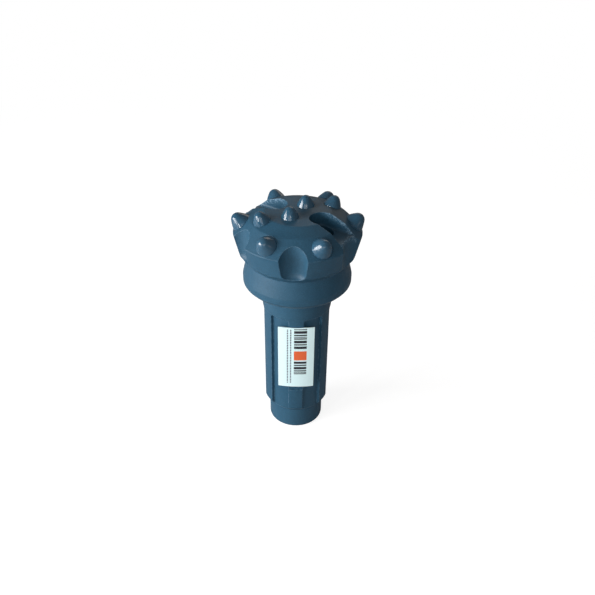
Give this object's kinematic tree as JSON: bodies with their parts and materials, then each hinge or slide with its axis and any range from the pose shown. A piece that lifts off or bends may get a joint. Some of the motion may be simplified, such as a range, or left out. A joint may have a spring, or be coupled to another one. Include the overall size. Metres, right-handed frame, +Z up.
{
  "type": "button drill bit",
  "caption": "Down-the-hole button drill bit: forged head with carbide buttons and flushing channels, stepped collar, splined shank and plain tail.",
  "frame": {"origin": "centre of the striking face, the flat lower end of the shank", "axes": "+Z up the bit axis towards the cutting face, +X and -X along the two flushing channels of the face"},
  "size_m": [0.0832, 0.0878, 0.1823],
  "materials": {
    "painted_steel": "satin blue-grey paint over forged and machined alloy steel",
    "painted_carbide": "glossy blue-grey paint over tungsten carbide",
    "paper_label": "blank near-white label stock"
  },
  "bodies": {
    "root": {"bit_body": "painted_steel", "gauge_button_1": "painted_carbide", "gauge_button_2": "painted_carbide", "gauge_button_3": "painted_carbide", "gauge_button_4": "painted_carbide", "gauge_button_5": "painted_carbide", "gauge_button_6": "painted_carbide", "face_button_1": "painted_carbide", "face_button_2": "painted_carbide", "face_button_3": "painted_carbide", "face_button_4": "painted_carbide", "label": "paper_label"}
  },
  "joints": []
}
